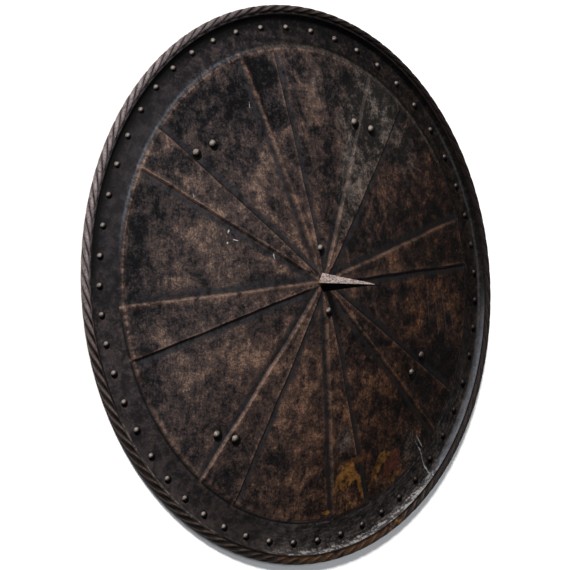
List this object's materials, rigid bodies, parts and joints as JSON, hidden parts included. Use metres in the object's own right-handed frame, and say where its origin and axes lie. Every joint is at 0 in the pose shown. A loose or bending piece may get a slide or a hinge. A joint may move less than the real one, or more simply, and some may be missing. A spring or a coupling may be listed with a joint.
{
  "type": "rondache shield",
  "caption": "Round iron shield with a low conical face, embossed radial ribs, a riveted border, a turned and roped rim and a four-sided central spike, lying on its rim.",
  "frame": {"origin": "on the resting plane, under the middle of the round outline", "axes": "+Z out of the shield's face, along the spike; +X towards the rib that the picture shows at the right; +Y towards the top of the picture"},
  "size_m": [0.58, 0.58, 0.1278],
  "materials": {
    "blackened_iron": "old black paint worn through to brown iron, mottled, with brown arrises and a few remains of ochre paint",
    "bare_steel": "grey forged steel, pitted and dull",
    "rivet_steel": "grey steel, rubbed bright on the domes and dark round the edge"
  },
  "bodies": {
    "root": {"shield_plate": "blackened_iron", "spike": "bare_steel", "strap_rivet_1": "rivet_steel", "strap_rivet_2": "rivet_steel", "strap_rivet_3": "rivet_steel", "strap_rivet_4": "rivet_steel", "strap_rivet_5": "rivet_steel", "strap_rivet_6": "rivet_steel", "strap_rivet_7": "rivet_steel", "strap_rivet_8": "rivet_steel", "centre_rivet_1": "rivet_steel", "centre_rivet_2": "rivet_steel"}
  },
  "joints": []
}
